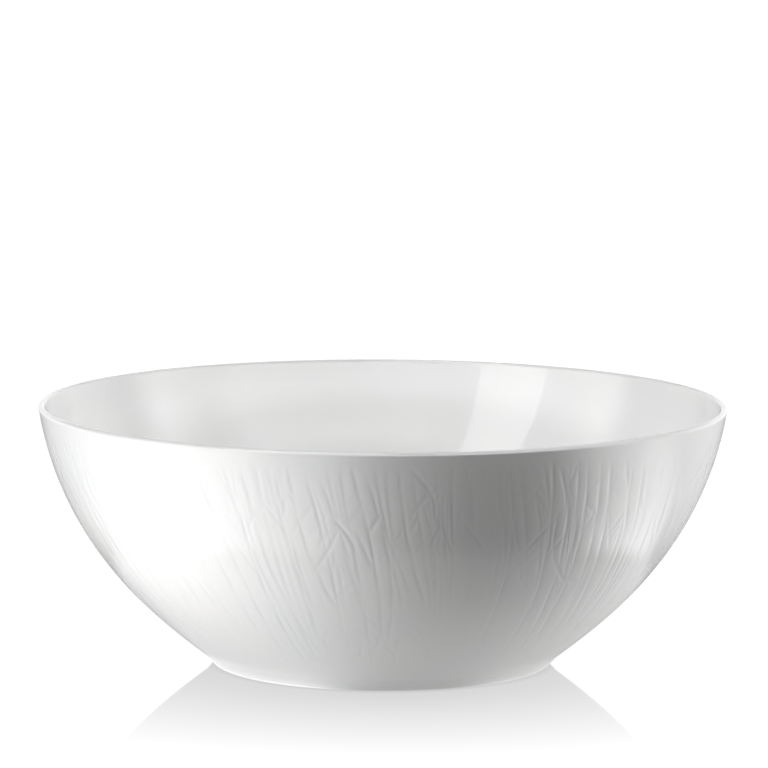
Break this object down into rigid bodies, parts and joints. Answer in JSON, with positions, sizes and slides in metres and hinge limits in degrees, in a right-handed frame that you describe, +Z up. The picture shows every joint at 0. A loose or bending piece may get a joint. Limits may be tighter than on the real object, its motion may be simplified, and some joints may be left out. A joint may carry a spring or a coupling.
{
  "type": "serving bowl",
  "caption": "Round white porcelain serving bowl: thin flared wall, rounded lip, low foot ring with a bare bearing face, line relief outside under a clear glaze.",
  "frame": {"origin": "centre of the plane that the foot ring stands on", "axes": "+Z up along the bowl's axis of revolution, +X and +Y in the standing plane"},
  "size_m": [0.26, 0.26, 0.099],
  "materials": {
    "glaze": "clear gloss over white porcelain",
    "biscuit": "bare fired porcelain, fine and matt"
  },
  "bodies": {
    "root": {"porcelain_body": "biscuit", "foot_ring": "biscuit", "outer_glaze": "glaze", "inner_glaze": "glaze", "underside_glaze": "glaze"}
  },
  "joints": []
}
